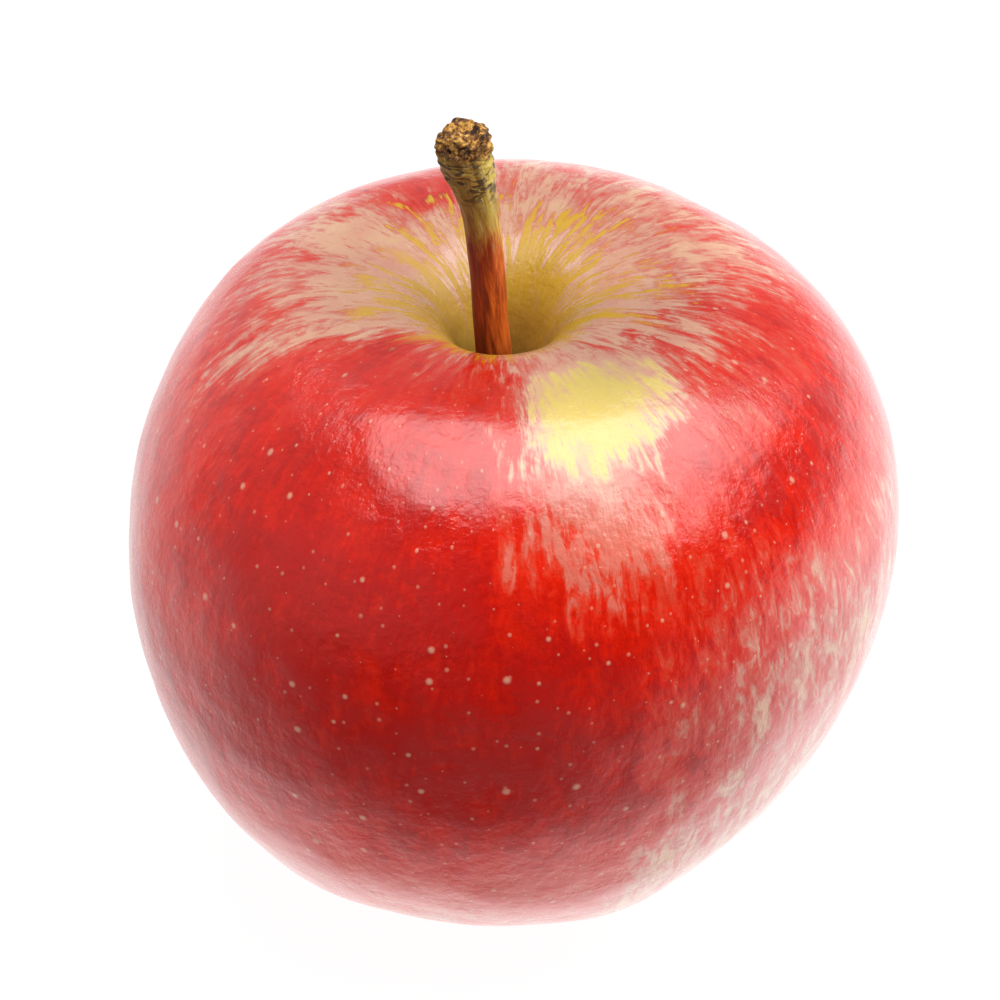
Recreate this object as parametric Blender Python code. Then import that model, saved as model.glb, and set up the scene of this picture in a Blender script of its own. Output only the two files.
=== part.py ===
"""A ripe apple at its real size, standing on the five low lobes of its base.

Metres, +Z up. The origin is on the surface that the apple stands on, under the middle of the fruit's box.
The fruit is one turned outline whose rings are then pushed out of round. The stalk, the five dried sepals
and the crown of dried stamens are pieces of their own, each with a small gap round it.
"""

from math import atan2, cos, hypot, pi, radians, sin

import bmesh
import bpy
from mathutils import Vector
from mathutils.geometry import interpolate_bezier

# Driving dimensions, in metres.
DIAMETER = 0.074
RADIUS = DIAMETER / 2
GAP = 0.0003  # left between two pieces that touch on the real fruit
FLAT_DEPTH = 0.00025  # how far the lobes of the base are pressed flat

# The fruit's half outline: radius and height of each knot, as shares of RADIUS.
PIT_EDGE = Vector((0.070, 1.250))  # the bottom of the stalk's hollow
SHOULDER = Vector((0.455, 1.647))  # the highest ring
EQUATOR = Vector((1.000, 0.950))  # the widest ring
BASE_OUTER = Vector((0.400, 0.000))  # the lowest ring, which is a narrow level band
BASE_INNER = Vector((0.320, 0.000))
EYE_EDGE = Vector((0.100, 0.220))  # where the hollow of the base meets the dried flower
EYE_ROOF = Vector((0.070, 0.275))
WELL_RADIUS = 0.054  # the round socket that the stalk grows from
WELL_DEPTH = 0.070

# How the rings leave a true circle. Angles run from +X towards +Y.
OVAL = (0.0227, radians(54))  # two-fold: amount and direction
THREE_SIDED = (0.0136, radians(-6))
LOBE_ANGLE = radians(5)
LOBES_ABOVE = 0.0115  # five-fold, near the shoulder
LOBES_BELOW = 0.0301  # five-fold, near the base
LOBE_DROP = 0.008  # how far the five lobes of the base hang down
LEAN = Vector((0.0155, 0.0135))  # sideways shift for each unit of height
TILT = Vector((0.0012, 0.0123))  # rise of the shoulder for each unit sideways
PIT_OFFSET = Vector((-0.0302, 0.0040))

SEGMENTS = 50
ARC_POINTS = 11

# The stalk's middle line: sideways shift from its root, height and radius of each knot, in metres.
STALK_KNOTS = (
    (0.0000, 0.0000, 0.00160),
    (-0.0003, 0.0070, 0.00163),
    (-0.0008, 0.0143, 0.00161),
    (-0.0012, 0.0208, 0.00163),
    (-0.0018, 0.0263, 0.00172),
    (-0.0025, 0.0293, 0.00208),
    (-0.0030, 0.0313, 0.00240),
    (-0.0032, 0.0328, 0.00248),
    (-0.0032, 0.0341, 0.00218),
    (-0.0031, 0.0349, 0.00140),
)
STALK_SIDES = 16

# The dried flower in the eye, in metres.
SEPAL_COUNT = 5
SEPAL_LINE = ((0.0030, 0.0), (0.0023, -0.0022), (0.0026, -0.0038), (0.0044, -0.0053))
SEPAL_WIDTH = 0.0033
SEPAL_TIP_WIDTH = 0.0004
SEPAL_THICKNESS = 0.00045
SEPAL_ROWS = 8
SEPAL_COLUMNS = 4
STAMEN_COUNT = 10
STAMEN_LENGTH = 0.0036
STAMEN_SPLAY = 0.0005
STAMEN_TIP_SCALE = 0.45
CROWN_RADIUS = 0.0023
CROWN_HOLE_RADIUS = 0.0010
CROWN_THICKNESS = 0.0005


def clear_scene():
    """Remove whatever the file opened with."""
    for old in list(bpy.data.objects):
        bpy.data.objects.remove(old, do_unlink=True)


def plain_material(name, colour, roughness):
    """A Principled material of one colour."""
    material = bpy.data.materials.new(name)
    material.use_nodes = True
    shader = material.node_tree.nodes["Principled BSDF"]
    shader.inputs["Base Color"].default_value = (*colour, 1.0)
    shader.inputs["Roughness"].default_value = roughness
    shader.inputs["Metallic"].default_value = 0.0
    return material


def add_object(name, bm, material, parent=None):
    """Put a finished bmesh into the scene as one smooth object."""
    bmesh.ops.recalc_face_normals(bm, faces=bm.faces)
    mesh = bpy.data.meshes.new(name)
    bm.to_mesh(mesh)
    bm.free()
    mesh.shade_smooth()
    mesh.materials.append(material)
    piece = bpy.data.objects.new(name, mesh)
    piece.parent = parent
    bpy.context.collection.objects.link(piece)
    return piece


def arc(start, leave, arrive, end, count):
    """Points of one cubic Bezier, without its first point."""
    flat = [Vector((point.x, 0.0, point.y)) for point in (start, leave, arrive, end)]
    return [Vector((point.x, point.z)) for point in interpolate_bezier(*flat, count)][1:]


def fruit_outline():
    """The half outline from the stalk's socket, over the shoulder, down to the roof of the eye."""
    rise = SHOULDER - PIT_EDGE
    shoulder_to_side = EQUATOR - SHOULDER
    side_to_base = EQUATOR - BASE_OUTER
    points = [
        Vector((0.0, PIT_EDGE.y - WELL_DEPTH)),
        Vector((WELL_RADIUS, PIT_EDGE.y - WELL_DEPTH)),
        Vector((WELL_RADIUS, PIT_EDGE.y - 0.2 * WELL_DEPTH)),
        PIT_EDGE,
    ]
    points += arc(
        PIT_EDGE,
        PIT_EDGE + Vector((0.03, 0.78 * rise.y)),
        SHOULDER - Vector((0.78 * rise.x, 0.0)),
        SHOULDER,
        ARC_POINTS,
    )
    points += arc(
        SHOULDER,
        SHOULDER + Vector((0.536 * shoulder_to_side.x, 0.0)),
        EQUATOR - Vector((0.0, 0.560 * shoulder_to_side.y)),
        EQUATOR,
        ARC_POINTS,
    )
    points += arc(
        EQUATOR,
        EQUATOR - Vector((0.0, 0.511 * side_to_base.y)),
        BASE_OUTER + Vector((0.480 * side_to_base.x, 0.0)),
        BASE_OUTER,
        ARC_POINTS,
    )
    points.append((BASE_OUTER + BASE_INNER) / 2)
    points.append(BASE_INNER)
    points += arc(
        BASE_INNER,
        BASE_INNER - Vector((0.42 * (BASE_INNER.x - EYE_EDGE.x), 0.0)),
        EYE_EDGE - Vector((0.0, 0.1)),
        EYE_EDGE,
        ARC_POINTS - 2,
    )
    points += arc(
        EYE_EDGE,
        EYE_EDGE + Vector((0.0, 0.03)),
        EYE_ROOF + Vector((0.02, 0.0)),
        EYE_ROOF,
        4,
    )
    points.append(Vector((0.0, EYE_ROOF.y)))
    return points


def grown(point):
    """Move a point of the turned outline to its place on the uneven fruit, in shares of RADIUS."""
    radius = hypot(point.x, point.y)
    angle = atan2(point.y, point.x)
    height = point.z
    near_side = min(radius, 1.0)
    share = height / SHOULDER.y
    above = max(0.0, (share - 0.55) / 0.45) ** 2
    below = max(0.0, (0.5 - share) / 0.5) ** 2
    five_fold = cos(5 * (angle - LOBE_ANGLE))
    swell = OVAL[0] * cos(2 * (angle - OVAL[1])) + THREE_SIDED[0] * cos(3 * (angle - THREE_SIDED[1]))
    swell += (LOBES_ABOVE * above + LOBES_BELOW * below) * five_fold
    stretch = 1 + near_side * swell
    x = point.x * stretch
    y = point.y * stretch
    if height > EQUATOR.y:
        x += PIT_OFFSET.x * (1 - near_side**2)
        y += PIT_OFFSET.y * (1 - near_side**2)
        height += (height - EQUATOR.y) / (SHOULDER.y - EQUATOR.y) * (TILT.x * x + TILT.y * y)
    else:
        height -= LOBE_DROP * below * min(radius / BASE_INNER.x, 1.0) ** 2 * five_fold
    x += LEAN.x * (point.z - EQUATOR.y)
    y += LEAN.y * (point.z - EQUATOR.y)
    return Vector((x, y, height))


def turned(outline):
    """Spin the half outline round Z into one closed skin."""
    bm = bmesh.new()
    line = [bm.verts.new((point.x, 0.0, point.y)) for point in outline]
    edges = [bm.edges.new(pair) for pair in zip(line, line[1:])]
    bmesh.ops.spin(
        bm,
        geom=line + edges,
        cent=(0.0, 0.0, 0.0),
        axis=(0.0, 0.0, 1.0),
        dvec=(0.0, 0.0, 0.0),
        angle=2 * pi,
        steps=SEGMENTS,
        use_merge=True,
    )
    bmesh.ops.remove_doubles(bm, verts=bm.verts, dist=1e-5)
    return bm


def add_fruit(material):
    """Make the fruit. Return the move that stands it on its base with its box over the origin."""
    bm = turned(fruit_outline())
    for vert in bm.verts:
        vert.co = grown(vert.co) * RADIUS
    columns = [[vert.co[axis] for vert in bm.verts] for axis in range(3)]
    shift = Vector(
        (
            -(min(columns[0]) + max(columns[0])) / 2,
            -(min(columns[1]) + max(columns[1])) / 2,
            -min(columns[2]) - FLAT_DEPTH,
        )
    )
    for vert in bm.verts:
        vert.co += shift
        vert.co.z = max(vert.co.z, 0.0)
    add_object("fruit", bm, material)
    return shift


def add_stalk(material, root):
    """A round tube that follows the stalk's knots and swells to the broken knob at its end."""
    curve = bpy.data.curves.new("stem", "CURVE")
    curve.dimensions = "3D"
    curve.bevel_depth = 1.0
    curve.bevel_resolution = STALK_SIDES // 4 - 1
    curve.use_fill_caps = True
    spline = curve.splines.new("POLY")
    spline.points.add(len(STALK_KNOTS) - 1)
    for point, (sideways, height, radius) in zip(spline.points, STALK_KNOTS):
        point.co = (sideways, 0.0, height, 1.0)
        point.radius = radius
    curve.materials.append(material)
    stalk = bpy.data.objects.new("stem", curve)
    stalk.location = root
    bpy.context.collection.objects.link(stalk)


def sepal_mesh():
    """A pointed, curled leaf whose middle line lies in the XZ plane, before it gets its thickness."""
    bm = bmesh.new()
    knots = [Vector((across, 0.0, up)) for across, up in SEPAL_LINE]
    rows = []
    for step, middle in enumerate(interpolate_bezier(*knots, SEPAL_ROWS + 1)):
        share = step / SEPAL_ROWS
        width = SEPAL_TIP_WIDTH + (SEPAL_WIDTH - SEPAL_TIP_WIDTH) * (1 - share**1.6)
        row = []
        for column in range(SEPAL_COLUMNS + 1):
            across = width * (column / SEPAL_COLUMNS - 0.5)
            cupped = 0.10 * width - 0.35 * across**2 / SEPAL_WIDTH
            row.append(bm.verts.new((middle.x + cupped, across, middle.z)))
        rows.append(row)
    for row, after in zip(rows, rows[1:]):
        for column in range(SEPAL_COLUMNS):
            bm.faces.new((row[column], row[column + 1], after[column + 1], after[column]))
    return bm


def add_sepals(material, eye):
    """Five dried sepals round the eye, each turned about the eye's own axis."""
    for number in range(SEPAL_COUNT):
        sepal = add_object(f"sepal_{number + 1}", sepal_mesh(), material, eye)
        sepal.rotation_euler.z = LOBE_ANGLE + (number + 0.5) * 2 * pi / SEPAL_COUNT
        wall = sepal.modifiers.new("thickness", "SOLIDIFY")
        wall.thickness = SEPAL_THICKNESS
        wall.offset = 0.0


def add_stamens(material, eye, roof):
    """The crown of dried stamens: a ring under the roof of the eye, with spikes hanging from it."""
    bm = bmesh.new()
    sides = 2 * STAMEN_COUNT
    loops = []
    for radius, height in (
        (CROWN_HOLE_RADIUS, roof),
        (CROWN_RADIUS, roof),
        (CROWN_RADIUS, roof - CROWN_THICKNESS),
        (CROWN_HOLE_RADIUS, roof - CROWN_THICKNESS),
    ):
        angles = [side * 2 * pi / sides for side in range(sides)]
        loops.append([bm.verts.new((radius * cos(a), radius * sin(a), height)) for a in angles])
    under_faces = []
    for index, loop in enumerate(loops):
        after = loops[(index + 1) % len(loops)]
        for side in range(sides):
            beside = (side + 1) % sides
            face = bm.faces.new((loop[side], loop[beside], after[beside], after[side]))
            if index == 2 and side % 2 == 0:
                under_faces.append(face)
    spikes = bmesh.ops.extrude_discrete_faces(bm, faces=under_faces)["faces"]
    for face in spikes:
        middle = face.calc_center_median()
        outward = Vector((middle.x, middle.y, 0.0)).normalized()
        move = outward * STAMEN_SPLAY - Vector((0.0, 0.0, STAMEN_LENGTH))
        for vert in face.verts:
            vert.co = middle + (vert.co - middle) * STAMEN_TIP_SCALE + move
    add_object("stamens", bm, material, eye)


def main():
    clear_scene()
    skin = plain_material("apple skin", (0.53, 0.02, 0.01), 0.30)
    bark = plain_material("stalk bark", (0.24, 0.11, 0.03), 0.60)
    dry_leaf = plain_material("dried sepal", (0.16, 0.10, 0.05), 0.80)
    dry_thread = plain_material("dried stamen", (0.09, 0.05, 0.03), 0.85)

    shift = add_fruit(skin)

    socket_floor = grown(Vector((0.0, 0.0, PIT_EDGE.y - WELL_DEPTH))) * RADIUS + shift
    add_stalk(bark, socket_floor + Vector((0.0, 0.0, GAP)))

    eye = bpy.data.objects.new("eye", None)
    eye.location = grown(Vector((0.0, 0.0, EYE_EDGE.y))) * RADIUS + shift
    bpy.context.collection.objects.link(eye)
    add_sepals(dry_leaf, eye)
    roof = (EYE_ROOF.y - EYE_EDGE.y) * RADIUS - GAP
    add_stamens(dry_thread, eye, roof)


main()
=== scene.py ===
# %% [markdown]
# # A ripe red apple
# This lesson finishes one apple: the fruit with its blushed, freckled skin, the woody stalk, and the
# dried flower that hides in the base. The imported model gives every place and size. It is loaded first, so
# that each fine surface can be fitted into the box of the plain solid that it stands for.

import bpy
import numpy as np
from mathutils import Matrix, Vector


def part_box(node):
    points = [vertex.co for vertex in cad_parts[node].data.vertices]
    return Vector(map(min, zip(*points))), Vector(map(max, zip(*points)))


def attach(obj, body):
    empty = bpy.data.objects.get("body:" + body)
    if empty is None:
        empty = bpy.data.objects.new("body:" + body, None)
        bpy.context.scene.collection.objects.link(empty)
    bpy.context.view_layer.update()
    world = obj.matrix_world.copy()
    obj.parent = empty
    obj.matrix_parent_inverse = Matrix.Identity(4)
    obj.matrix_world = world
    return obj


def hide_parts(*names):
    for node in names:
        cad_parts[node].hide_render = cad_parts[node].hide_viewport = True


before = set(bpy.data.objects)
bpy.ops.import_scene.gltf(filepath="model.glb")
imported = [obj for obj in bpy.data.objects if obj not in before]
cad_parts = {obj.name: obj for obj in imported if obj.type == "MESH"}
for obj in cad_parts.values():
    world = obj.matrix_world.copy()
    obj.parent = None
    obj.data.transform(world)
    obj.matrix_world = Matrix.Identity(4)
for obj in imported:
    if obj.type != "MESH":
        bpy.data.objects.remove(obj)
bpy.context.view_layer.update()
fruit_low, fruit_high = (np.array(corner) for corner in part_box("fruit"))
stalk_top = float(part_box("stem")[1][2])
print("fruit", np.round((fruit_high - fruit_low) * 1000, 1), "mm")

# %% [markdown]
# ## Meshes from grids
# Almost everything here is a ring of points carried along a line, so one helper closes such a grid into a
# mesh. Rows run along the piece and columns run round it. A pole point shuts each end with a fan of
# triangles, which leaves no hole. Values that a material needs, such as how far along the piece a point
# lies, are stored on the points as attributes. They stay with the surface in every view, and they need no
# seam as a UV map would.


# %% Turn a grid of rings into a closed mesh
def ring_faces(rows, columns, first=0):
    """Quads between neighbouring rings: each joins points j and j + 1 of a ring to those of the next."""
    row = np.arange(rows - 1)[:, None] * columns + first
    here = np.arange(columns)[None, :]
    beside = (here + 1) % columns
    quads = [row + here, row + columns + here, row + columns + beside, row + beside]
    return np.stack(np.broadcast_arrays(*quads), axis=-1).reshape(-1, 4)


def closed_tube(rings, start, end, first=0):
    """Points and faces of a tube of rings that is shut by one pole point at each end."""
    rows, columns = rings.shape[:2]
    here = np.arange(columns)
    beside = (here + 1) % columns
    last = first + (rows - 1) * columns
    start_pole = first + rows * columns
    points = np.concatenate([rings.reshape(-1, 3), [start, end]])
    shut_start = np.stack([here + first, beside + first, np.full(columns, start_pole)], axis=-1)
    shut_end = np.stack([last + beside, last + here, np.full(columns, start_pole + 1)], axis=-1)
    faces = ring_faces(rows, columns, first).tolist() + shut_start.tolist() + shut_end.tolist()
    return points, faces


def add_piece(name, points, faces, material, replaced, attributes=()):
    """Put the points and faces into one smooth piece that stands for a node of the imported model."""
    mesh = bpy.data.meshes.new(name)
    mesh.from_pydata(np.asarray(points).tolist(), [], faces)
    for label, values in dict(attributes).items():
        stored = mesh.attributes.new(label, "FLOAT_VECTOR", "POINT")
        stored.data.foreach_set("vector", np.asarray(values, np.float32).ravel())
    mesh.shade_smooth()
    mesh.materials.append(material)
    piece = bpy.data.objects.new(name, mesh)
    bpy.context.collection.objects.link(piece)
    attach(piece, "root")
    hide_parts(replaced)
    print(name, len(mesh.polygons), "faces")


# %% [markdown]
# ## Shader maths
# A skin pattern is mostly sums and products of masks. Written as Python expressions they read like the
# idea behind them, so one small class wraps a socket and turns +, -, * and / into Math nodes. Everything
# else, such as noise or a colour ramp, goes through its one node() method.


# %% Wrap a socket so that Python can do sums with it
class Link:
    """One output of a material's nodes. Arithmetic on it adds a Math node to the same material."""

    def __init__(self, tree, socket=None):
        self.tree = tree
        self.socket = socket

    def node(self, kind, settings=(), inputs=(), output=0):
        """Add any node: its settings first, a ramp's stops among them, then each socket's value or link."""
        made = self.tree.nodes.new(kind)
        for name, value in dict(settings).items():
            if name == "stops":
                ramp = made.color_ramp.elements
                while len(ramp) < len(value):
                    ramp.new(1.0)
                for stop, (position, colour) in zip(ramp, value):
                    stop.position = position
                    stop.color = (*colour, 1.0)
            else:
                setattr(made, name, value)
        for key, value in dict(inputs).items():
            if isinstance(value, Link):
                self.tree.links.new(value.socket, made.inputs[key])
            else:
                made.inputs[key].default_value = value
        return Link(self.tree, made.outputs[output])

    def maths(self, operation, first, second=0.0):
        return self.node("ShaderNodeMath", {"operation": operation}, {0: first, 1: second})

    def __add__(self, other):
        return self.maths("ADD", self, other)

    def __radd__(self, other):
        return self.maths("ADD", other, self)

    def __sub__(self, other):
        return self.maths("SUBTRACT", self, other)

    def __rsub__(self, other):
        return self.maths("SUBTRACT", other, self)

    def __mul__(self, other):
        return self.maths("MULTIPLY", self, other)

    def __rmul__(self, other):
        return self.maths("MULTIPLY", other, self)

    def __truediv__(self, other):
        return self.maths("DIVIDE", self, other)

    def __pow__(self, other):
        return self.maths("POWER", self, other)

    def between(self, low, high):
        """0 up to low, 1 from high on, and a soft S between them. High may be the smaller one."""
        inputs = {"Value": self, "From Min": low, "From Max": high}
        return self.node("ShaderNodeMapRange", {"interpolation_type": "SMOOTHSTEP"}, inputs)

    def most(self, other):
        """The larger of the two."""
        return self.maths("MAXIMUM", self, other)

    def split(self):
        """The three numbers of a vector."""
        made = self.node("ShaderNodeSeparateXYZ", inputs={"Vector": self}).socket.node
        return [Link(self.tree, socket) for socket in made.outputs]

    def stretched(self, x, y, z):
        """This vector with each of its parts multiplied."""
        return self.node("ShaderNodeVectorMath", {"operation": "MULTIPLY"}, {0: self, 1: (x, y, z)})

    def noise(self, scale=1.0, detail=2.0, roughness=0.5, distortion=0.0):
        """Soft noise read at this vector, about 0.5 on average."""
        inputs = {
            "Vector": self,
            "Scale": scale,
            "Detail": detail,
            "Roughness": roughness,
            "Distortion": distortion,
        }
        return self.node("ShaderNodeTexNoise", inputs=inputs)

    def ramp(self, stops):
        """The colour that this number picks between the stops."""
        return self.node("ShaderNodeValToRGB", {"stops": stops}, {"Fac": self})

    def tint(self, before, after):
        """Mix two colours: before where this mask is 0, after where it is 1."""
        pair = [c if isinstance(c, Link) else (*c[:3], 1.0) for c in (before, after)]
        return self.node("ShaderNodeMix", {"data_type": "RGBA"}, {0: self, 6: pair[0], 7: pair[1]}, 2)

    def scaled(self, share):
        """This colour made darker or lighter by a share."""
        return self.node("ShaderNodeVectorMath", {"operation": "SCALE"}, {0: self, "Scale": share})


def start_material(name):
    """A new Principled material, with a Link to its tree and its shader node."""
    material = bpy.data.materials.new(name)
    material.use_nodes = True
    tree = material.node_tree
    return material, Link(tree), tree.nodes["Principled BSDF"]


def feed(shader, values):
    """Set or link sockets of the shader."""
    for name, value in values.items():
        if isinstance(value, Link):
            value.tree.links.new(value.socket, shader.inputs[name])
        else:
            shader.inputs[name].default_value = value


def raised(start, height, depth, strength=1.0, under=None):
    """A Bump node: height is a mask, and depth is how far in metres its full value stands up."""
    inputs = {"Height": height, "Distance": depth, "Strength": strength}
    if under is not None:
        inputs["Normal"] = under
    return start.node("ShaderNodeBump", inputs=inputs)


# %% [markdown]
# ## The shape of the fruit
# An apple is turned by nature: a half outline swept round the core. Four curved stretches make it, from
# the stalk's hollow over the shoulder, down the side, under the base and up into the eye. No real apple
# is round, though, so a second step pushes each ring a little oval, three-sided and five-lobed, leans the
# whole body, and moves the hollow off centre. The lobes hang lowest, and the apple stands on them.

# %% Name the knots of the half outline, in shares of the fruit's radius
PIT_EDGE = np.array([0.070, 1.250])
SHOULDER = np.array([0.455, 1.647])
EQUATOR = np.array([1.000, 0.950])
BASE_OUTER = np.array([0.400, 0.000])
BASE_INNER = np.array([0.320, 0.000])
EYE_EDGE = np.array([0.100, 0.220])
EYE_ROOF = np.array([0.070, 0.275])
WELL_RADIUS = 0.054
WELL_DEPTH = 0.070
FRUIT_ROWS = 250
FRUIT_COLUMNS = 390


# %% Sweep the outline
def bezier(start, leave, arrive, end, count=120):
    """Points of a cubic Bezier curve: each is a blend of the four, with weights that sum to 1."""
    t = np.linspace(0.0, 1.0, count)[:, None]
    return (1 - t) ** 3 * start + 3 * (1 - t) ** 2 * t * leave + 3 * (1 - t) * t**2 * arrive + t**3 * end


def half_outline():
    """Radius and height of the outline's points, from the well's floor to the roof of the eye."""
    rise = SHOULDER - PIT_EDGE
    shoulder = EQUATOR - SHOULDER
    side = EQUATOR - BASE_OUTER
    under = BASE_INNER - EYE_EDGE
    well = [
        [0.0, PIT_EDGE[1] - WELL_DEPTH],
        [WELL_RADIUS, PIT_EDGE[1] - WELL_DEPTH],
        [WELL_RADIUS, PIT_EDGE[1] - 0.2 * WELL_DEPTH],
    ]
    return np.concatenate(
        [
            well,
            bezier(PIT_EDGE, PIT_EDGE + [0.03, 0.78 * rise[1]], SHOULDER - [0.78 * rise[0], 0], SHOULDER),
            bezier(
                SHOULDER,
                SHOULDER + [0.536 * shoulder[0], 0],
                EQUATOR - [0, 0.56 * shoulder[1]],
                EQUATOR,
            )[1:],
            bezier(
                EQUATOR,
                EQUATOR - [0, 0.511 * side[1]],
                BASE_OUTER + [0.48 * side[0], 0],
                BASE_OUTER,
            )[1:],
            bezier(BASE_INNER, BASE_INNER - [0.42 * under[0], 0], EYE_EDGE - [0, 0.1], EYE_EDGE),
            bezier(EYE_EDGE, EYE_EDGE + [0, 0.03], EYE_ROOF + [0.02, 0], EYE_ROOF, 20)[1:],
            [[0.0, EYE_ROOF[1]]],
        ]
    )


def walked(line):
    """How far along the line each of its points is."""
    steps = np.linalg.norm(np.diff(line, axis=0), axis=1)
    return np.concatenate([[0.0], np.cumsum(steps)])


outline = half_outline()
outline_length = walked(outline)
pit_edge_at = outline_length[3]
evenly = np.linspace(0.0, outline_length[-1], FRUIT_ROWS + 2)
row_radius = np.interp(evenly, outline_length, outline[:, 0])
row_height = np.interp(evenly, outline_length, outline[:, 1])
print("outline", round(float(outline_length[-1]), 2), "radii long")

# %% Push the rings out of round
OVAL = (0.0227, np.radians(54))
THREE_SIDED = (0.0136, np.radians(-6))
LOBE_ANGLE = np.radians(5)
LOBES_ABOVE = 0.0115
LOBES_BELOW = 0.0301
LOBE_DROP = 0.008
LEAN = (0.0155, 0.0135)
TILT = (0.0012, 0.0123)
PIT_OFFSET = (-0.0302, 0.0040)


def grown(radius, angle, height):
    """Where a point of the swept outline lies on the uneven fruit.

    Its radius is multiplied by a swelling that follows the angle two, three and five times round. Then come
    a sideways lean with height, and a hollow that is off centre.
    """
    near_side = np.minimum(radius, 1.0)
    share = height / SHOULDER[1]
    above = np.maximum(0.0, (share - 0.55) / 0.45) ** 2
    below = np.maximum(0.0, (0.5 - share) / 0.5) ** 2
    five_fold = np.cos(5 * (angle - LOBE_ANGLE))
    swell = OVAL[0] * np.cos(2 * (angle - OVAL[1]))
    swell = swell + THREE_SIDED[0] * np.cos(3 * (angle - THREE_SIDED[1]))
    swell = swell + (LOBES_ABOVE * above + LOBES_BELOW * below) * five_fold
    top_half = height > EQUATOR[1]
    offset = np.where(top_half, 1 - near_side**2, 0.0)
    x = radius * np.cos(angle) * (1 + near_side * swell) + PIT_OFFSET[0] * offset
    y = radius * np.sin(angle) * (1 + near_side * swell) + PIT_OFFSET[1] * offset
    rise = (height - EQUATOR[1]) / (SHOULDER[1] - EQUATOR[1]) * (TILT[0] * x + TILT[1] * y)
    drop = LOBE_DROP * below * np.minimum(radius / BASE_INNER[0], 1.0) ** 2 * five_fold
    z = height + np.where(top_half, rise, -drop)
    above_equator = height - EQUATOR[1]
    return np.stack([x + LEAN[0] * above_equator, y + LEAN[1] * above_equator, z], axis=-1)


angles = np.linspace(0.0, 2 * np.pi, FRUIT_COLUMNS, endpoint=False)
round_angle, ring_radius = np.meshgrid(angles, row_radius[1:-1])
ring_height = np.meshgrid(angles, row_height[1:-1])[1]
skin_rings = grown(ring_radius, round_angle, ring_height)
poles = grown(np.zeros(2), np.zeros(2), row_height[[0, -1]])

# %% Fit the fruit into the box of its solid
shape_low = skin_rings.reshape(-1, 3).min(axis=0)
shape_high = skin_rings.reshape(-1, 3).max(axis=0)
RADIUS = float((fruit_high - fruit_low)[0] / (shape_high - shape_low)[0])
MOVE = (fruit_high + fruit_low) / 2 - (shape_high + shape_low) / 2 * RADIUS
MOVE[2] = fruit_high[2] - shape_high[2] * RADIUS
print("radius", round(RADIUS * 1000, 2), "mm, moved", np.round(MOVE * 1000, 2), "mm")


def placed(points):
    """A point in shares of the radius, as a place in the scene."""
    return points * RADIUS + MOVE


# %% [markdown]
# Under the light a perfectly smooth body looks like plastic. The flesh of a real apple pushes the skin
# into shallow swells, a few hundredths of a millimetre high and some millimetres wide. A sum of sine
# waves in seeded random directions gives such swells without any seam.


# %% Add shallow swells to the skin
def swells(points, wavelength, seed, waves=24):
    """A smooth height of about -1 to 1: a sum of sine waves that cross the points in random directions."""
    draw = np.random.default_rng(seed)
    directions = draw.normal(size=(3, waves))
    directions /= np.linalg.norm(directions, axis=0)
    phases = draw.uniform(0.0, 2 * np.pi, waves)
    return np.sin(points @ directions * (2 * np.pi / wavelength) + phases).sum(axis=-1) / np.sqrt(waves)


def ring_normals(rings):
    """Outward directions on a closed tube: the cross product of the step round and the step along."""
    around = np.roll(rings, -1, axis=1) - np.roll(rings, 1, axis=1)
    along = np.gradient(rings, axis=0)
    normals = np.cross(along, around)
    return normals / np.maximum(np.linalg.norm(normals, axis=-1, keepdims=True), 1e-12)


skin_rings = placed(skin_rings)
poles = placed(poles)
outside = np.clip((ring_radius - 0.10) / 0.15, 0.0, 1.0)
height_of_swells = 0.00009 * swells(skin_rings, 0.013, seed=3)
height_of_swells = height_of_swells + 0.00002 * swells(skin_rings, 0.0045, seed=4)
skin_rings = skin_rings + ring_normals(skin_rings) * (height_of_swells * outside)[..., None]
skin_rings[..., 2] = np.maximum(skin_rings[..., 2], 0.0)
print("swells up to", round(float(np.abs(height_of_swells).max()) * 1000, 2), "mm")

# %% [markdown]
# ## The skin
# The colour of an apple is laid on in strokes that run from stalk to eye, because the skin stretches that
# way as the fruit swells. So the pattern is not painted on places in space but on two numbers of the skin
# itself: the direction round the core, and the distance walked down from the hollow. Noise that is
# squeezed round the core and stretched down the skin gives strokes, and every border of a colour is
# broken up by them.


# %% Tell the skin where it is: direction round the core, and distance down from the hollow
walked_down = np.broadcast_to((evenly[1:-1] - pit_edge_at)[:, None], ring_radius.shape)
ring_place = np.stack([np.cos(round_angle), np.sin(round_angle), walked_down], axis=-1)
pole_place = np.array([[0.0, 0.0, -pit_edge_at], [0.0, 0.0, evenly[-1] - pit_edge_at]])
skin_place = np.concatenate([ring_place.reshape(-1, 3), pole_place])

# %% Name the colours of the skin
CREAM = (0.72, 0.54, 0.12)
PALE = (0.68, 0.38, 0.24)
PINK = (0.60, 0.20, 0.145)
ROSE = (0.62, 0.048, 0.022)
RED = (0.63, 0.011, 0.001)
CRIMSON = (0.44, 0.004, 0.001)
GOLD = (0.62, 0.34, 0.004)
OLIVE = (0.66, 0.39, 0.060)
PIT_BROWN = (0.14, 0.08, 0.020)
FRECKLE = (0.70, 0.38, 0.25)


# %% Pick out a side of the fruit, and lay strokes and freckles
def facing(east, north, degrees):
    """How far a place of the skin faces a direction: 1 straight towards it, 0 at a right angle."""
    angle = np.radians(degrees)
    return east * float(np.cos(angle)) + north * float(np.sin(angle))


def sector(east, north, degrees, half_width, softness):
    """1 within half_width degrees of a direction round the core, and 0 past softness degrees more."""
    inner, outer = np.radians([half_width, half_width + softness])
    return facing(east, north, degrees).between(float(np.cos(outer)), float(np.cos(inner)))


def strokes_of(place, around, along, low, high):
    """Strokes down the skin, from -0.5 to 0.5: noise squeezed round the core and drawn out along it."""
    field = place.stretched(around, around, along).noise(detail=5.0, roughness=0.62, distortion=1.2)
    return field.between(low, high) - 0.5


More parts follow.
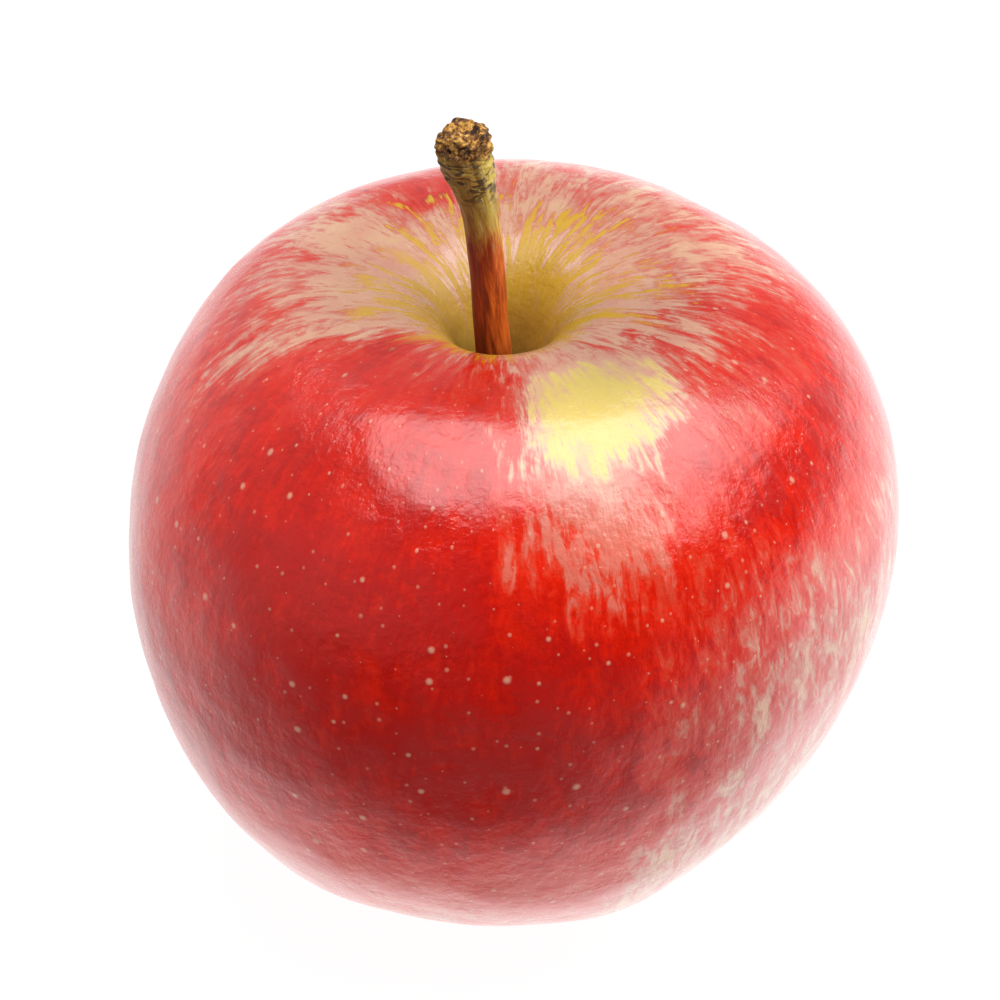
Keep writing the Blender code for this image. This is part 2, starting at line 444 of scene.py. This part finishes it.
def freckles_of(start, angle, down, count, size):
    """Small spots, one in each cell of a grid of count cells to the radian, each with its own size."""
    spot = start.node("ShaderNodeCombineXYZ", inputs={0: angle * count, 1: down * count})
    cells = {"Vector": spot, "Scale": 1.0}
    flat = {"voronoi_dimensions": "2D"}
    distance = start.node("ShaderNodeTexVoronoi", flat, cells)
    own_size = start.node("ShaderNodeTexVoronoi", flat, cells, output=1).split()[0] * size
    return distance.between(own_size + size * 0.2, own_size * 0.3)


# %% [markdown]
# The strokes come in four widths, because a blush is laid on over weeks: broad washes, strokes, finer
# strokes and hairs. Close to the hollow the skin's circle is small, so the strokes there are given fewer
# turns, or they would look like combed hair. Three more noises, in space and not along the skin, mottle
# it without a direction.


# %% Gather the noises of the skin
def skin_noises(place, point, down):
    """Each noise of the skin by name, about 0 on average."""
    near_hollow = down.between(1.05, 0.55)
    fine = strokes_of(place, 22.0, 8.0, 0.36, 0.64)
    fine = fine + (strokes_of(place, 15.0, 7.5, 0.34, 0.66) - fine) * near_hollow
    medium = strokes_of(place, 12.0, 4.5, 0.34, 0.66)
    medium = medium + (strokes_of(place, 7.0, 4.2, 0.34, 0.66) - medium) * near_hollow
    return {
        "wide": strokes_of(place, 4.5, 2.2, 0.30, 0.70),
        "medium": medium,
        "fine": fine,
        "hairs": strokes_of(place, 60.0, 9.0, 0.36, 0.64),
        "clouds": point.noise(70.0, detail=2.0) - 0.5,
        "blotch": point.noise(300.0, detail=4.0, roughness=0.6) - 0.5,
        "grain": point.noise(1100.0, detail=3.0, roughness=0.6) - 0.5,
    }


# %% [markdown]
# The blush is one number from 0, bare skin, to 1, full crimson. It rises where the skin passes a line
# some way down from the hollow. That line is high on the sunny front left and low behind. Directions are
# in degrees round the core, with the front at -90, and distances are in radii down from the hollow's
# edge.


# %% Work out how much blush covers the skin
FRONT_LEFT = (-118, 18, 26)
RIGHT = (-28, 18, 26)
BEHIND = (112, 6, 14)
LEFT_SHOULDER = (170, 20, 16)
LOWER_RIGHT = (-38, 27, 10)
FAR_SIDE = (70, 30, 60)
RIGHT_SIDE = (-18, 20, 16)
SUNNY_FRONT = (-100, 26, 34)
PATCH_DIRECTION = -64
PATCH_DOWN, PATCH_HALF_HEIGHT = 0.72, 0.20
TAIL_DIRECTION = -74
TAIL_DOWN, TAIL_HALF_HEIGHT = 0.99, 0.29


def blush_cover(east, north, down, noises):
    """The blush with its strokes and mottling, before the bare patch is taken out of it."""
    wide, medium, fine = noises["wide"], noises["medium"], noises["fine"]
    front_left = sector(east, north, *FRONT_LEFT)
    right = sector(east, north, *RIGHT)
    behind = sector(east, north, *BEHIND) * down.between(0.55, 0.64)
    left_pale = sector(east, north, *LEFT_SHOULDER) * down.between(0.76, 0.62)
    blush_line = 0.92 - front_left * 0.52 - right * 0.22 + wide * 0.14 - behind * 0.3
    past_line = down - blush_line
    cover = 0.30 + (past_line + medium * 0.16 + fine * 0.10).between(-0.22, 0.18) * 0.49

    # Strokes are strong on the shoulder and on the shaded lower right, and faint in the deep red.
    shoulder = down.between(0.36, 0.46) * past_line.between(0.24, -0.10)
    frayed_down = down + wide * 0.3
    lower_right = (frayed_down + medium * 0.25).between(1.10, 1.50) * sector(east, north, *LOWER_RIGHT)
    far_side = frayed_down.between(0.95, 1.45) * sector(east, north, *FAR_SIDE)
    right_red = sector(east, north, *RIGHT_SIDE) * down.between(0.95, 1.10) * down.between(1.40, 1.15)
    streaky = 0.10 + shoulder * 0.22 + lower_right * 0.21 + far_side * 0.14
    streaky = streaky + right * 0.10 + left_pale * 0.16
    cover = cover - lower_right * 0.26 - far_side * 0.22 - right * 0.06
    cover = cover + right_red * 0.24 - left_pale * 0.15
    cover = cover + streaky * (fine + medium * 0.9 + noises["hairs"] * 0.35)
    cover = cover + wide * 0.12 + noises["clouds"] * 0.16
    cover = cover + noises["blotch"] * 0.46 + noises["grain"] * 0.30

    # The sunny front is deepest, and the skin pales towards the base.
    deep = sector(east, north, *SUNNY_FRONT) * down.between(0.70, 1.20) * down.between(2.05, 1.70)
    cover = cover + deep * 0.19 - down.between(1.80, 2.50) * 0.30
    return cover.most(0.20 + noises["blotch"] * 0.3)


def bare_share(east, north, down, noises):
    """What is left of the blush, from 0 to 1, round the patch that a leaf shaded and the tail below it.

    Each is an oval field: 1 at its middle, less the squared distance from it, and frayed by the strokes.
    """
    off_patch = (1.0 - facing(east, north, PATCH_DIRECTION)) * 8.5
    off_patch = off_patch + ((down - PATCH_DOWN) / PATCH_HALF_HEIGHT) ** 2.0
    frayed = noises["fine"] * 0.50 + noises["medium"] * 0.60 + noises["hairs"] * 0.3
    frayed = frayed + noises["wide"] * 0.3 + noises["blotch"] * 1.2
    patch = (1.0 - off_patch + frayed).between(-0.15, 0.80)
    off_tail = (1.0 - facing(east, north, TAIL_DIRECTION)) * 18.0
    off_tail = off_tail + ((down - TAIL_DOWN) / TAIL_HALF_HEIGHT) ** 2.0
    torn = noises["fine"] * 0.8 + noises["medium"] * 0.7 + noises["blotch"] * 1.5
    tail = (1.0 - off_tail + torn).between(-0.3, 1.2)
    return (1.0 - tail * 0.58) * (1.0 - patch * 0.98)


# %% [markdown]
# Sun never reaches into the hollow, so it keeps the ground colour of the fruit. It is gold at the rim,
# olive further in and brown at the stalk, and gold strokes run out of it over the shoulder.


# %% Colour the hollow
FRONT = (-90, 50, 25)
HOLLOW_LEFT = (178, 22, 34)


def hollow_mask(east, north, down, noises):
    """1 inside the hollow's ragged edge and 0 outside. The edge is calmer at the front."""
    front = sector(east, north, *FRONT)
    out_strokes = noises["medium"] * 0.30 + noises["fine"] * 0.24 + noises["hairs"] * 0.10
    edge = 0.43 + out_strokes * (1.0 - front * 0.7) + noises["wide"] * 0.12 - front * 0.06
    return (down - edge).between(0.08, -0.06)


def ground_colour(east, north, down, noises):
    """The skin's colour without any blush."""
    fine = noises["fine"]
    ground = (down + fine * 0.08).between(0.40, 0.16).tint(GOLD, OLIVE)
    ground = down.between(0.14, 0.02).tint(ground, PIT_BROWN)
    pale = (down + fine * 0.3 + noises["hairs"] * 0.2).between(0.24, 0.38)
    return (pale * sector(east, north, *HOLLOW_LEFT) * 0.15).tint(ground, PALE)


# %% [markdown]
# Wax gives an apple its gloss: a clear coat of uneven thickness over a skin that is itself a little
# rough. Under it, bumps at four scales break up the lights' reflections, and freckles are the pores that
# the skin breathes through.


# %% Mix the skin
BLUSH_STOPS = (
    (0.00, CREAM),
    (0.16, PALE),
    (0.34, PINK),
    (0.56, ROSE),
    (0.76, RED),
    (1.00, CRIMSON),
)


def skin_material():
    """The apple's skin: blush over ground colour by a mask, then freckles, painted light and shade, bumps
    and wax.
    """
    material, start, shader = start_material("apple skin")
    place = start.node("ShaderNodeAttribute", {"attribute_name": "skin_place"}, output=1)
    point = start.node("ShaderNodeTexCoord", output=3)
    east, north, down = place.split()
    where = (east, north, down)
    noises = skin_noises(place, point, down)
    clouds, blotch = noises["clouds"], noises["blotch"]

    blush = (blush_cover(*where, noises) * bare_share(*where, noises)).ramp(BLUSH_STOPS)
    hollow = hollow_mask(*where, noises)
    colour = hollow.tint(blush, ground_colour(*where, noises))

    # The angle round the core starts at the front, so that its seam lies behind.
    angle = start.node("ShaderNodeMath", {"operation": "ARCTAN2"}, {0: east, 1: north * -1.0})
    large_freckles = freckles_of(start, angle, down, 6.0, 0.070)
    freckle = large_freckles.most(freckles_of(start, angle, down, 13.0, 0.085) * 0.6)
    freckle = freckle * down.between(0.45, 0.65)
    colour = (freckle * 0.62).tint(colour, FRECKLE)

    # The base colour carries painted light and shade: darkest on the shoulder, under the strong overhead
    # box, brightest on the upper side, a little darker again below, and darker on the right flank, under
    # the right box.
    painted_light_and_shade = 0.76 + down.between(0.60, 0.85) * 0.24 + down.between(0.85, 1.10) * 0.32
    painted_light_and_shade = painted_light_and_shade - down.between(1.40, 1.60) * 0.16 - sector(east, north, *RIGHT) * 0.12

    bumps = raised(start, clouds, 0.0012, 0.7)
    bumps = raised(start, blotch, 0.00040, 0.7, bumps)
    bumps = raised(start, noises["grain"], 0.00006, 0.7, bumps)
    bumps = raised(start, noises["medium"] + noises["fine"], 0.00003, 0.5, bumps)
    bumps = raised(start, freckle, 0.00005, 0.6, bumps)
    finish = {
        "Base Color": colour.scaled(painted_light_and_shade),
        "Roughness": 0.26 + clouds * 0.24 + blotch * 0.40 + hollow * 0.20,
        "IOR": 1.50,
        "Coat Weight": 0.50 + clouds * 1.2 + blotch * 0.8 - hollow * 0.5,
        "Coat Roughness": 0.20,
        "Normal": bumps,
    }
    feed(shader, finish)
    print("apple skin", len(material.node_tree.nodes), "nodes")
    return material


# %% Make the fruit
fruit_points, fruit_faces = closed_tube(skin_rings, poles[0], poles[1])
add_piece(
    "fruit_skin",
    fruit_points,
    fruit_faces,
    skin_material(),
    "fruit",
    {"skin_place": skin_place},
)

# %% [markdown]
# ## The stalk
# The stalk is a round, slightly bent twig that swells to a knob where it broke off the tree. It is a ring
# carried along a bent line. The ring's radius follows the knots of the solid and is then roughened: long
# ridges on the way up, wrinkles below the knob, and a crumbled face where it broke.

# %% Name the stalk's line: sideways shift from its root, height and radius of each knot, in metres
STALK_ROOT = placed(grown(np.array(0.0), np.array(0.0), PIT_EDGE[1] - WELL_DEPTH))
STALK_KNOTS = np.array(
    [
        (0.0000, 0.0003, 0.00160),
        (-0.0003, 0.0070, 0.00163),
        (-0.0008, 0.0143, 0.00161),
        (-0.0012, 0.0208, 0.00163),
        (-0.0018, 0.0263, 0.00172),
        (-0.0025, 0.0293, 0.00208),
        (-0.0030, 0.0313, 0.00240),
        (-0.0032, 0.0328, 0.00248),
        (-0.0032, 0.0341, 0.00218),
        (-0.0031, 0.0347, 0.00165),
        (-0.0031, 0.0346, 0.00080),
    ]
)
KNOB_FROM = 0.0275
SCAR_FROM = 0.0322
STALK_ROWS = 330
STALK_COLUMNS = 132


# %% Carry the ring along the line
def smooth_through(knots, places):
    """Values between the knots on a curve that passes each knot with the slope of its two neighbours."""
    at = np.arange(len(knots))
    slopes = np.gradient(knots, axis=0)
    index = np.clip(places.astype(int), 0, len(knots) - 2)
    t = (places - at[index])[:, None]
    before, after = knots[index], knots[index + 1]
    leaving, arriving = slopes[index], slopes[index + 1]
    return (
        (2 * t**3 - 3 * t**2 + 1) * before
        + (t**3 - 2 * t**2 + t) * leaving
        + (3 * t**2 - 2 * t**3) * after
        + (t**3 - t**2) * arriving
    )


stalk_line = smooth_through(STALK_KNOTS, np.linspace(0, len(STALK_KNOTS) - 1, STALK_ROWS))
stalk_share = np.linspace(0.0, 1.0, STALK_ROWS)[:, None]
stalk_angle = np.linspace(0.0, 2 * np.pi, STALK_COLUMNS, endpoint=False)[None, :]
stalk_radius = stalk_line[:, 2:3] + 0.0 * stalk_angle
stalk_rings = np.stack(
    [
        STALK_ROOT[0] + stalk_line[:, 0:1] + stalk_radius * np.cos(stalk_angle),
        STALK_ROOT[1] + stalk_radius * np.sin(stalk_angle),
        STALK_ROOT[2] + stalk_line[:, 1:2] + 0.0 * stalk_angle,
    ],
    axis=-1,
)

# %% [markdown]
# Bark is never smooth. Fibres wind up the stalk, so their ridges follow the angle plus a twist that grows
# with height. The knob is squeezed into level wrinkles, and the scar where the stalk tore off the twig is
# crumbly.

# %% Roughen the bark
stalk_tall = stalk_rings[..., 2:3] - STALK_ROOT[2]
twisted = stalk_angle[..., None] + 28.0 * stalk_tall
column_place = np.concatenate([np.cos(twisted), np.sin(twisted), stalk_tall * 60.0], axis=-1)
fibre_height = 0.00006 * swells(column_place, 0.9, seed=11)
fibre_height = fibre_height + 0.00003 * swells(column_place, 0.4, seed=12)
knob = np.clip((stalk_tall[..., 0] - KNOB_FROM) / 0.003, 0.0, 1.0)
broken = np.clip((stalk_tall[..., 0] - SCAR_FROM) / 0.0012, 0.0, 1.0)
squashed = stalk_rings * [1.0, 1.0, 2.6]
wrinkle_height = 0.00011 * swells(squashed, 0.0022, seed=13)
wrinkle_height = wrinkle_height + 0.00005 * swells(squashed, 0.0009, seed=14)
crumb_height = 0.00016 * swells(stalk_rings, 0.0016, seed=15)
crumb_height = crumb_height + 0.00012 * swells(stalk_rings, 0.0007, seed=16)
bark_height = fibre_height + knob * wrinkle_height + broken * crumb_height
stalk_rings = stalk_rings + ring_normals(stalk_rings) * bark_height[..., None]
stalk_rings[..., 2] = np.minimum(stalk_rings[..., 2], stalk_top)
stalk_place = np.stack(
    [np.cos(twisted[..., 0]), np.sin(twisted[..., 0]), stalk_tall[..., 0]], axis=-1
).reshape(-1, 3)
stalk_place = np.concatenate([stalk_place, [[0.0, 0.0, 0.0], [0.0, 0.0, 0.0345]]])
print("bark up to", round(float(np.abs(bark_height).max()) * 1000, 2), "mm rough")


# %% [markdown]
# The sun reddens the lower stalk, and the upper part stays olive. Each half has a dark and a light ramp,
# and a mask across the stalk, frayed by the fibres, blends them, so that one flank is darker: partly the
# bark's own red and orange, partly painted shade on the left flank and painted light on the right. Dead
# threads, wrinkles and the torn scar come on top, each with a mask of its own.


# %% Mix the stalk's bark
def bark_material():
    """Red-brown bark that turns olive on the way up, with a wrinkled knob and a crumbly yellow scar."""
    material, start, shader = start_material("stalk bark")
    place = start.node("ShaderNodeAttribute", {"attribute_name": "stalk_place"}, output=1)
    point = start.node("ShaderNodeTexCoord", output=3)
    tall = place.split()[2]
    across = (point.split()[0] - float(STALK_ROOT[0]) + tall * 0.07) / 0.0016
    fibres = place.stretched(3.0, 3.0, 260.0).noise(1.0, detail=4.0, roughness=0.6, distortion=0.4)
    threads = place.stretched(7.0, 7.0, 330.0).noise(1.0, detail=3.0)
    crumbs = point.noise(1500.0, detail=4.0, roughness=0.7)
    # Painted light and shade: the lighter ramps go on the right flank and the darker ones on the left.
    lit = (across + (fibres - 0.5) * 1.6).between(-0.4, 1.0)

    dark_red = fibres.ramp(((0.30, (0.09, 0.005, 0.002)), (0.70, (0.27, 0.018, 0.004))))
    orange = fibres.ramp(((0.30, (0.30, 0.034, 0.004)), (0.70, (0.76, 0.17, 0.016))))
    lower = lit.tint(dark_red, orange)
    lighter_above = 0.78 + tall.between(0.007, 0.018) * 0.62
    lower = lower.scaled(lighter_above)
    dark_olive = fibres.ramp(((0.30, (0.18, 0.095, 0.012)), (0.70, (0.44, 0.27, 0.040))))
    khaki = fibres.ramp(((0.30, (0.42, 0.27, 0.035)), (0.70, (0.80, 0.60, 0.110))))
    upper = lit.tint(dark_olive, khaki)
    colour = (tall + (fibres - 0.5) * 0.012).between(0.0215, 0.0275).tint(lower, upper)

    # Grey threads of dead bark show on the upper half, and purple-brown lines in the knob's wrinkles.
    grey = threads.between(0.62, 0.68) * tall.between(0.020, 0.027)
    colour = (grey * 0.6).tint(colour, (0.50, 0.40, 0.26))
    lines = point.stretched(1.0, 1.0, 2.4).noise(900.0, detail=3.0, distortion=0.5).between(0.50, 0.42)
    colour = (lines * tall.between(0.0265, 0.0295) * 0.85).tint(colour, (0.045, 0.020, 0.014))
    scar = crumbs.ramp(
        (
            (0.40, (0.030, 0.010, 0.005)),
            (0.50, (0.20, 0.080, 0.018)),
            (0.58, (0.58, 0.28, 0.045)),
            (0.72, (0.80, 0.56, 0.20)),
        )
    )
    scar_mask = (tall + (crumbs - 0.5) * 0.0022).between(SCAR_FROM, SCAR_FROM + 0.0012)
    colour = scar_mask.tint(colour, scar)

    bumps = raised(start, fibres + threads * 0.5, 0.00016, 0.7)
    bumps = raised(start, crumbs * (0.25 + scar_mask), 0.00030, 0.8, bumps)
    feed(
        shader,
        {"Base Color": colour, "Roughness": 0.42 + fibres * 0.2 + scar_mask * 0.4, "Normal": bumps},
    )
    return material


# %% Make the stalk
stalk_points, stalk_faces = closed_tube(
    stalk_rings,
    STALK_ROOT + [0.0, 0.0, STALK_KNOTS[0, 1]],
    STALK_ROOT + [STALK_KNOTS[-1, 0], 0.0, STALK_KNOTS[-1, 1] - 0.0003],
)
add_piece(
    "stalk",
    stalk_points,
    stalk_faces,
    bark_material(),
    "stem",
    {"stalk_place": stalk_place},
)

# %% [markdown]
# ## The dried flower
# Five dried sepals hang round the mouth of the eye, with the crown of dried stamens inside. Each sepal is
# a flat tube: its rings are thin ovals that follow a bent middle line, cup a little, and wave along the
# edge.

# %% Place the eye, and name the sepals
EYE = placed(grown(np.array(0.0), np.array(0.0), EYE_EDGE[1]))
SEPAL_COUNT = 5
SEPAL_LINE = np.array([(0.0030, 0.0), (0.0023, -0.0022), (0.0026, -0.0038), (0.0044, -0.0053)])
SEPAL_WIDTH = 0.0033
SEPAL_TIP_WIDTH = 0.0004
SEPAL_THICKNESS = 0.00036
SEPAL_ROWS = 60
SEPAL_COLUMNS = 48


# %% Mix the dried flower's materials
def dry_material(name, dark, light, roughness):
    """Dead leaf: fibres along the piece, darker in the folds, and a paler downy bloom."""
    material, start, shader = start_material(name)
    place = start.node("ShaderNodeAttribute", {"attribute_name": "leaf_place"}, output=1)
    point = start.node("ShaderNodeTexCoord", output=3)
    veins = place.stretched(9.0, 9.0, 2.2).noise(1.0, detail=5.0, roughness=0.6, distortion=0.3)
    spots = point.noise(1400.0, detail=4.0, roughness=0.6)
    down_hair = point.noise(3600.0, detail=2.0)
    colour = (veins * 0.6 + spots * 0.4).ramp(((0.34, dark), (0.66, light)))
    colour = (down_hair.between(0.55, 0.68) * 0.35).tint(colour, (0.48, 0.40, 0.28))
    bumps = raised(start, veins + spots * 0.4, 0.00012, 0.8)
    feed(shader, {"Base Color": colour, "Roughness": roughness + spots * 0.15, "Normal": bumps})
    return material


# %% Work out a sepal
def sepal_rings(seed):
    """Rings of thin ovals along the sepal's bent middle line, in the frame of the eye.

    Across each ring the width follows a cosine and the thickness a sine. The width narrows to the tip with
    the power 1.6 of the share walked, and a sine wave ruffles the edge.
    """
    share = np.linspace(0.0, 1.0, SEPAL_ROWS)[:, None]
    middle = bezier(*SEPAL_LINE, SEPAL_ROWS)
    turn = np.linspace(0.0, 2 * np.pi, SEPAL_COLUMNS, endpoint=False)[None, :]
    width = SEPAL_TIP_WIDTH + (SEPAL_WIDTH - SEPAL_TIP_WIDTH) * (1 - share**1.6)
    edge_wave = 1 + 0.07 * np.sin(share * 31 + seed) * np.abs(np.cos(turn)) ** 3
    across = width / 2 * np.cos(turn) * edge_wave
    thick = SEPAL_THICKNESS / 2 * (1 - 0.45 * share) * np.sin(turn)
    cupped = 0.10 * width - 0.35 * across**2 / SEPAL_WIDTH
    ripple = 0.00007 * np.sin(across * 5200 + seed) * np.sin(share * 3)
    twist = 0.10 * np.sin(seed * 2.4) * share**2
    slope = np.gradient(middle, axis=0)
    slope /= np.linalg.norm(slope, axis=1, keepdims=True)
    outward = thick + ripple + twist * across
    x = middle[:, 0:1] + cupped + outward * -slope[:, 1:2]
    z = middle[:, 1:2] + outward * slope[:, 0:1]
    flat = 0.0 * (share + turn)
    place = [across / SEPAL_WIDTH + flat, 0.3 * np.sin(turn) + flat, share + flat]
    place = np.stack(place, axis=-1)
    return np.stack([x, across, z], axis=-1), place.reshape(-1, 3)


# %% Make the five sepals
leaf_material = dry_material("dried sepal", (0.055, 0.030, 0.014), (0.30, 0.20, 0.095), 0.72)
for number in range(SEPAL_COUNT):
    rings, places = sepal_rings(seed=number + 1.0)
    turn = LOBE_ANGLE + (number + 0.5) * 2 * np.pi / SEPAL_COUNT
    turned = np.stack(
        [
            rings[..., 0] * np.cos(turn) - rings[..., 1] * np.sin(turn),
            rings[..., 0] * np.sin(turn) + rings[..., 1] * np.cos(turn),
            rings[..., 2],
        ],
        axis=-1,
    )
    turned = turned + EYE
    sepal_points, sepal_faces = closed_tube(turned, turned[0].mean(axis=0), turned[-1].mean(axis=0))
    places = np.concatenate([places + number * 3.1, places[:1], places[-1:]])
    add_piece(
        f"dried_sepal_{number + 1}",
        sepal_points,
        sepal_faces,
        leaf_material,
        f"sepal_{number + 1}",
        {"leaf_place": places},
    )

# %% [markdown]
# Under the roof of the eye sits the crown of stamens. It is a lumpy ring, and ten dry threads hang from
# it, each a thin tube round a bent line with a small swelling, the dead anther, near its end.


# %% Work out a stamen
STAMEN_COUNT = 10
STAMEN_LENGTH = 0.0036
CROWN_MIDDLE = 0.00165
CROWN_HALF_WIDTH = 0.00065
GAP = 0.0003
CROWN_TOP = (EYE_ROOF[1] - EYE_EDGE[1]) * RADIUS - GAP
CROWN_THICKNESS = 0.0005


def thread_rings(turn, start_height, reach, seed):
    """A thin hanging thread that starts at the crown, bends outward and ends in a small dried anther."""
    share = np.linspace(0.0, 1.0, 26)[:, None]
    side = np.linspace(0.0, 2 * np.pi, 10, endpoint=False)[None, :]
    out_by = CROWN_MIDDLE + reach * share**1.5 + 0.00010 * np.sin(share * 7 + seed)
    aside = 0.00022 * np.sin(share * 4 + seed * 1.7)
    height = start_height - STAMEN_LENGTH * share
    thick = 0.00026 - 0.00013 * share + 0.00016 * np.exp(-(((share - 0.93) / 0.05) ** 2))
    local_x = out_by + thick * np.cos(side)
    local_y = aside + thick * np.sin(side)
    x = local_x * np.cos(turn) - local_y * np.sin(turn)
    y = local_x * np.sin(turn) + local_y * np.cos(turn)
    return np.stack([x, y, height + 0 * side], axis=-1) + EYE


# %% Make the crown of stamens
crown_turn = np.linspace(0.0, 2 * np.pi, 120, endpoint=False)[:, None]
crown_side = np.linspace(0.0, 2 * np.pi, 20, endpoint=False)[None, :]
crown_out = CROWN_MIDDLE + CROWN_HALF_WIDTH * np.cos(crown_side) * (1 + 0.06 * np.sin(crown_turn * 20))
crown_rings = np.stack(
    [
        crown_out * np.cos(crown_turn),
        crown_out * np.sin(crown_turn),
        CROWN_TOP - CROWN_THICKNESS / 2 + CROWN_THICKNESS / 2 * np.sin(crown_side) + 0 * crown_turn,
    ],
    axis=-1,
)
crown_rings = crown_rings + EYE
ring_count, ring_size = crown_rings.shape[:2]
stamen_points = [crown_rings.reshape(-1, 3)]
crown_faces = ring_faces(ring_count, ring_size).tolist()
closing = ring_faces(2, ring_size)
closing = np.where(closing < ring_size, closing + (ring_count - 1) * ring_size, closing - ring_size)
stamen_faces = crown_faces + closing.tolist()
used = ring_count * ring_size
for number in range(STAMEN_COUNT):
    turn = (2 * number + 1) * np.pi / STAMEN_COUNT
    thread = thread_rings(turn, CROWN_TOP - CROWN_THICKNESS * 0.6, 0.0005, seed=number)
    points, faces = closed_tube(thread, thread[0].mean(axis=0), thread[-1].mean(axis=0), used)
    stamen_points.append(points)
    stamen_faces = stamen_faces + faces
    used = used + len(points)
stamen_points = np.concatenate(stamen_points)
stamen_place = (stamen_points - EYE) * 400.0
add_piece(
    "dried_stamens",
    stamen_points,
    stamen_faces,
    dry_material("dried stamen", (0.030, 0.016, 0.010), (0.17, 0.095, 0.050), 0.80),
    "stamens",
    {"leaf_place": stamen_place},
)

# %% [markdown]
# ## The studio
# The table shows to the camera only, as plain white. What the skin receives and mirrors from below comes
# from the room and from a light under the table, so that each can be set by itself. The apple therefore
# casts almost no shadow, as in a picture cut out on white.

# %% Lay the white table
FLOOR_REACH = 6.0
floor_mesh = bpy.data.meshes.new("floor")
corners = [(-1, -1), (1, -1), (1, 1), (-1, 1)]
floor_mesh.from_pydata([(x * FLOOR_REACH, y * FLOOR_REACH, 0.0) for x, y in corners], [], [(0, 1, 2, 3)])
floor = bpy.data.objects.new("floor", floor_mesh)
bpy.context.collection.objects.link(floor)
floor_material, _, floor_shader = start_material("white table")
floor_shine = {"Emission Color": (1.0, 1.0, 1.0, 1.0), "Emission Strength": 0.97}
feed(floor_shader, {"Base Color": (0.05, 0.05, 0.05, 1.0), "Roughness": 0.9, **floor_shine})
floor_material.cycles.emission_sampling = "NONE"
floor_mesh.materials.append(floor_material)
floor.visible_diffuse = False
floor.visible_glossy = False
floor.visible_shadow = False


# %% [markdown]
# Four soft lights do the rest. The overhead box is the broad sheen on the front of the shoulder, and a
# smaller box gives the right flank its weaker sheen. Two more only fill: one from under the table, where
# a real white table would throw light back, and a weak one from the front.


# %% Light it
def soft_box(name, place, look_at, size, power):
    """A rectangular area light that faces a point."""
    light = bpy.data.lights.new(name, "AREA")
    light.shape = "RECTANGLE"
    light.size, light.size_y = size
    light.energy = power
    lamp = bpy.data.objects.new(name, light)
    lamp.location = place
    lamp.rotation_euler = (Vector(look_at) - Vector(place)).to_track_quat("-Z", "Y").to_euler()
    bpy.context.collection.objects.link(lamp)
    return lamp


APPLE_FOOT = (0.0, 0.0, 0.03)
soft_box("overhead", (0.16, 0.02, 0.65), (0.16, 0.02, 0.0), (0.80, 0.56), 6.1)
table_bounce = soft_box("table bounce", (0.0, -0.05, -0.25), APPLE_FOOT, (1.0, 1.0), 3.1)
front_fill = soft_box("front fill", (-0.35, -0.65, 0.35), APPLE_FOOT, (0.8, 0.5), 0.7)
soft_box("right", (0.50, -0.03, 0.44), (0.0, 0.0, 0.04), (0.56, 0.26), 1.5)
# The fills add light, and leave no reflection of their own in the wax.
for lamp in (table_bounce, front_fill):
    lamp.visible_glossy = False

# %% [markdown]
# The room itself is the world's background, and its brightness depends on direction. Below the horizon it
# stands for the table: bright behind the fruit, dark on the camera's side. Seen past the table's end it
# is plain white.

# %% Brighten the room by direction
world = bpy.data.worlds.new("studio")
bpy.context.scene.world = world
world.use_nodes = True
room = Link(world.node_tree)
rightward, backward, upward = room.node("ShaderNodeTexCoord").split()
seen = room.node("ShaderNodeLightPath")
from_above = 0.03 + backward.between(0.0, 0.9) * 0.40
from_above = from_above + rightward.between(0.0, -0.9) * 0.30
from_below = 0.03 + backward.between(-0.75, 0.35) * (1.25 + rightward * 0.5)
brightness = from_above + (from_below - from_above) * upward.between(0.10, -0.20)
brightness = brightness + (1.0 - brightness) * seen
feed(world.node_tree.nodes["Background"], {"Color": (1.0, 1.0, 1.0, 1.0), "Strength": brightness})

# %% [markdown]
# A long lens from ten radii away keeps the fruit's outline nearly free of perspective, as for a
# catalogue. It looks down by some 39 degrees, so that the hollow opens towards it.

# %% Aim the camera
CAMERA_HEIGHT = np.radians(38.57)
CAMERA_LENS = 137.8
CAMERA_REACH = 10 * RADIUS
camera_subject = np.array([-0.0128, -0.0017, 0.851]) * RADIUS
camera_aim = np.array([-0.0375, 0.0714, 0.9426]) * RADIUS
camera_way = np.array([0.0, -np.cos(CAMERA_HEIGHT), np.sin(CAMERA_HEIGHT)])
camera_place = camera_subject + CAMERA_REACH * camera_way
camera_data = bpy.data.cameras.new("camera")
camera_data.sensor_width = 36.0
camera_data.lens = CAMERA_LENS
camera_data.clip_start = 0.01
camera = bpy.data.objects.new("camera", camera_data)
camera.location = camera_place
camera.rotation_euler = Vector(camera_aim - camera_place).to_track_quat("-Z", "Y").to_euler()
bpy.context.collection.objects.link(camera)
bpy.context.scene.camera = camera
print("camera at", np.round(camera_place, 3))
bpy.context.scene.view_settings.view_transform = "Standard"
